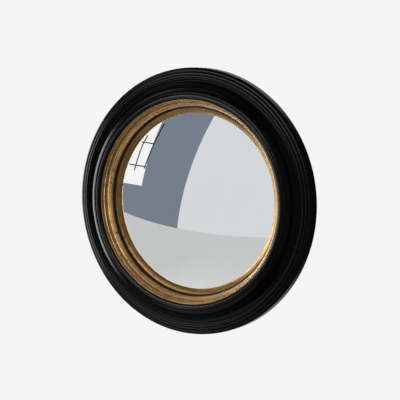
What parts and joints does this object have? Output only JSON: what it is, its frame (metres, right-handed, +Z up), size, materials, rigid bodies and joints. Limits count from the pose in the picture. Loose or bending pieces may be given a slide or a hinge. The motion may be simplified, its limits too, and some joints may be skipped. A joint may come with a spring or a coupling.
{
  "type": "convex wall mirror",
  "caption": "Round convex wall mirror: domed glass in a gilded slip, stepped black turned frame, buttoned backboard and a swinging hanger ring.",
  "frame": {"origin": "on the mirror's axis, in the plane of the back that rests on the wall", "axes": "mirror faces -Y, +Y points into the wall, +Z is up, +X to the right seen from the front"},
  "size_m": [0.39, 0.0451, 0.39],
  "materials": {
    "black_lacquer": "satin black lacquer on turned wood",
    "aged_gilding": "aged gold leaf, rubbed, on turned wood",
    "silvered_glass": "polished, silvered behind",
    "black_felt": "felt",
    "packing_foam": "closed-cell foam strip",
    "hardboard": "smooth brown hardboard",
    "zinc_steel": "zinc plated"
  },
  "bodies": {
    "frame": {"base_moulding": "black_lacquer", "crest_moulding": "black_lacquer", "gilt_moulding": "aged_gilding", "sight_ring": "aged_gilding", "mirror_glass": "silvered_glass", "glass_felt": "black_felt", "packing_ring": "packing_foam", "backboard": "hardboard", "frame_screws": "zinc_steel", "turn_button_screws": "zinc_steel", "hanger_strap": "zinc_steel", "hanger_screws": "zinc_steel"},
    "turn_button_1": {"turn_button_1": "zinc_steel"},
    "turn_button_2": {"turn_button_2": "zinc_steel"},
    "turn_button_3": {"turn_button_3": "zinc_steel"},
    "turn_button_4": {"turn_button_4": "zinc_steel"},
    "turn_button_5": {"turn_button_5": "zinc_steel"},
    "turn_button_6": {"turn_button_6": "zinc_steel"},
    "hanger_ring": {"hanger_ring": "zinc_steel"}
  },
  "joints": [
    {"name": "turn_button_1_pivot", "type": "hinge", "parent": "frame", "child": "turn_button_1", "pos_m": [0.148, -0.00571, 0], "axis": [0, 1, 0], "range_deg": [-90, 90]},
    {"name": "turn_button_2_pivot", "type": "hinge", "parent": "frame", "child": "turn_button_2", "pos_m": [0.074, -0.00571, 0.12817], "axis": [0, 1, 0], "range_deg": [-90, 90]},
    {"name": "turn_button_3_pivot", "type": "hinge", "parent": "frame", "child": "turn_button_3", "pos_m": [-0.074, -0.00571, 0.12817], "axis": [0, 1, 0], "range_deg": [-90, 90]},
    {"name": "turn_button_4_pivot", "type": "hinge", "parent": "frame", "child": "turn_button_4", "pos_m": [-0.148, -0.00571, 0], "axis": [0, 1, 0], "range_deg": [-90, 90]},
    {"name": "turn_button_5_pivot", "type": "hinge", "parent": "frame", "child": "turn_button_5", "pos_m": [-0.074, -0.00571, -0.12817], "axis": [0, 1, 0], "range_deg": [-90, 90]},
    {"name": "turn_button_6_pivot", "type": "hinge", "parent": "frame", "child": "turn_button_6", "pos_m": [0.074, -0.00571, -0.12817], "axis": [0, 1, 0], "range_deg": [-90, 90]},
    {"name": "hanger_ring_swing", "type": "hinge", "parent": "frame", "child": "hanger_ring", "pos_m": [0, -0.00438, 0.163], "axis": [-1, 0, 0], "range_deg": [0, 160]}
  ]
}
